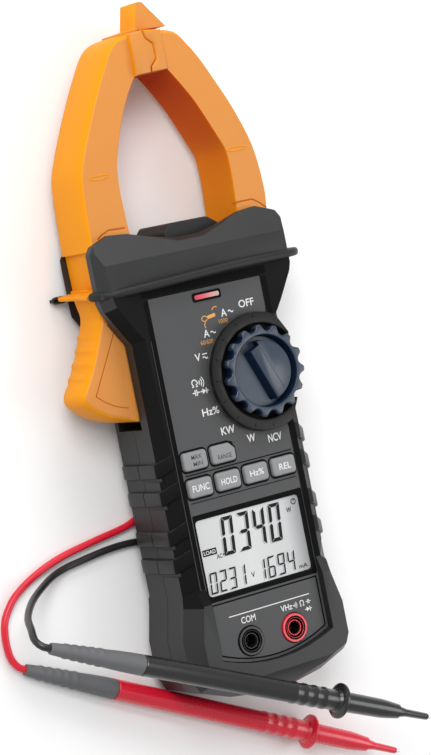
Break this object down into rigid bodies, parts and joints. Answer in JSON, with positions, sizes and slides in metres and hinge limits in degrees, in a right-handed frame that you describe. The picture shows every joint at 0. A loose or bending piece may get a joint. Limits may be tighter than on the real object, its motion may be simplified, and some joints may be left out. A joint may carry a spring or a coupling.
{
  "type": "clamp meter",
  "caption": "Power clamp meter lying on its back: hinged measuring jaws with a trigger, rotary selector, keys, display and input jacks, with two test leads laid beside it.",
  "frame": {"origin": "middle of the meter's own box, on the surface that it lies on", "axes": "+Z out of the front panel, +Y from the foot to the tip of the jaws, +X to the right as the panel is read"},
  "size_m": [0.1912, 0.3548, 0.0567],
  "materials": {
    "casing_black": "fine satin texture, near-black grey",
    "panel_grey": "satin dark grey with printed legends",
    "jaw_orange": "satin orange-yellow",
    "knob_navy": "satin dark navy blue",
    "button_grey": "matte mid grey rubber",
    "lcd_clear": "clear display window",
    "lcd_grey": "pale grey liquid crystal display",
    "lamp_red": "translucent red lamp window",
    "jack_black": "gloss black socket",
    "jack_red": "gloss red socket",
    "brass": "nickelled brass contact",
    "steel": "plain steel",
    "core_steel": "laminated silicon steel",
    "board_green": "solder mask green",
    "battery": "painted can",
    "inner_white": "moulded natural plastic",
    "lead_red": "soft silicone lead, red",
    "lead_black": "soft silicone lead, black",
    "probe_red": "satin red handle",
    "probe_black": "satin black handle",
    "sleeve_grey": "matte grey moulded sleeve"
  },
  "bodies": {
    "meter": {"front_casing": "casing_black", "rear_casing": "casing_black", "battery_cover": "casing_black", "top_cap": "casing_black", "control_panel": "panel_grey", "lcd_window": "lcd_clear", "lcd_module": "lcd_grey", "lamp_window": "lamp_red", "keypad": "button_grey", "dial_ring": "casing_black", "jack_com": "jack_black", "jack_volt": "jack_red", "contact_tube_com": "brass", "contact_tube_volt": "brass", "main_board": "board_green", "battery": "battery", "buzzer": "jack_black", "fixed_jaw": "jaw_orange", "fixed_core": "core_steel", "jaw_pivot_pin": "steel", "jaw_spring": "steel", "case_screw_1": "steel", "case_screw_2": "steel", "case_screw_3": "steel", "case_screw_4": "steel", "red_probe_sleeve": "sleeve_grey", "red_probe_handle": "probe_red", "red_probe_tip": "steel", "red_lead": "lead_red", "red_lead_coil": "lead_red", "red_lead_tail": "lead_red", "red_plug": "probe_red", "red_plug_pin": "brass", "black_probe_sleeve": "sleeve_grey", "black_probe_handle": "probe_black", "black_probe_tip": "steel", "black_lead": "lead_black", "black_lead_coil": "lead_black", "black_lead_tail": "lead_black", "black_plug": "probe_black", "black_plug_pin": "brass"},
    "jaw": {"moving_jaw": "jaw_orange", "moving_core": "core_steel"},
    "selector": {"selector_knob": "knob_navy", "selector_rotor": "inner_white"},
    "max_min_button": {"button_max_min": "button_grey"},
    "range_button": {"button_range": "button_grey"},
    "func_button": {"button_func": "button_grey"},
    "hold_button": {"button_hold": "button_grey"},
    "hz_button": {"button_hz": "button_grey"},
    "rel_button": {"button_rel": "button_grey"}
  },
  "joints": [
    {"name": "jaw_hinge", "type": "hinge", "parent": "meter", "child": "jaw", "pos_m": [-0.02895, 0.04035, 0.018], "axis": [0, 0, 1], "range_deg": [0, 26], "stiffness_Nm_per_rad": 0.6, "springref_deg": -28.65},
    {"name": "selector_turn", "type": "hinge", "parent": "meter", "child": "selector", "pos_m": [0.01965, -0.01465, 0.045], "axis": [0, 0, 1], "range_deg": [-22.5, 157.5]},
    {"name": "max_min_press", "type": "slide", "parent": "meter", "child": "max_min_button", "axis": [0, 0, -1], "range_m": [0, 0.0012], "stiffness_N_per_m": 400, "springref_m": -0.0006},
    {"name": "range_press", "type": "slide", "parent": "meter", "child": "range_button", "axis": [0, 0, -1], "range_m": [0, 0.0012], "stiffness_N_per_m": 400, "springref_m": -0.0006},
    {"name": "func_press", "type": "slide", "parent": "meter", "child": "func_button", "axis": [0, 0, -1], "range_m": [0, 0.0012], "stiffness_N_per_m": 400, "springref_m": -0.0006},
    {"name": "hold_press", "type": "slide", "parent": "meter", "child": "hold_button", "axis": [0, 0, -1], "range_m": [0, 0.0012], "stiffness_N_per_m": 400, "springref_m": -0.0006},
    {"name": "hz_press", "type": "slide", "parent": "meter", "child": "hz_button", "axis": [0, 0, -1], "range_m": [0, 0.0012], "stiffness_N_per_m": 400, "springref_m": -0.0006},
    {"name": "rel_press", "type": "slide", "parent": "meter", "child": "rel_button", "axis": [0, 0, -1], "range_m": [0, 0.0012], "stiffness_N_per_m": 400, "springref_m": -0.0006}
  ]
}
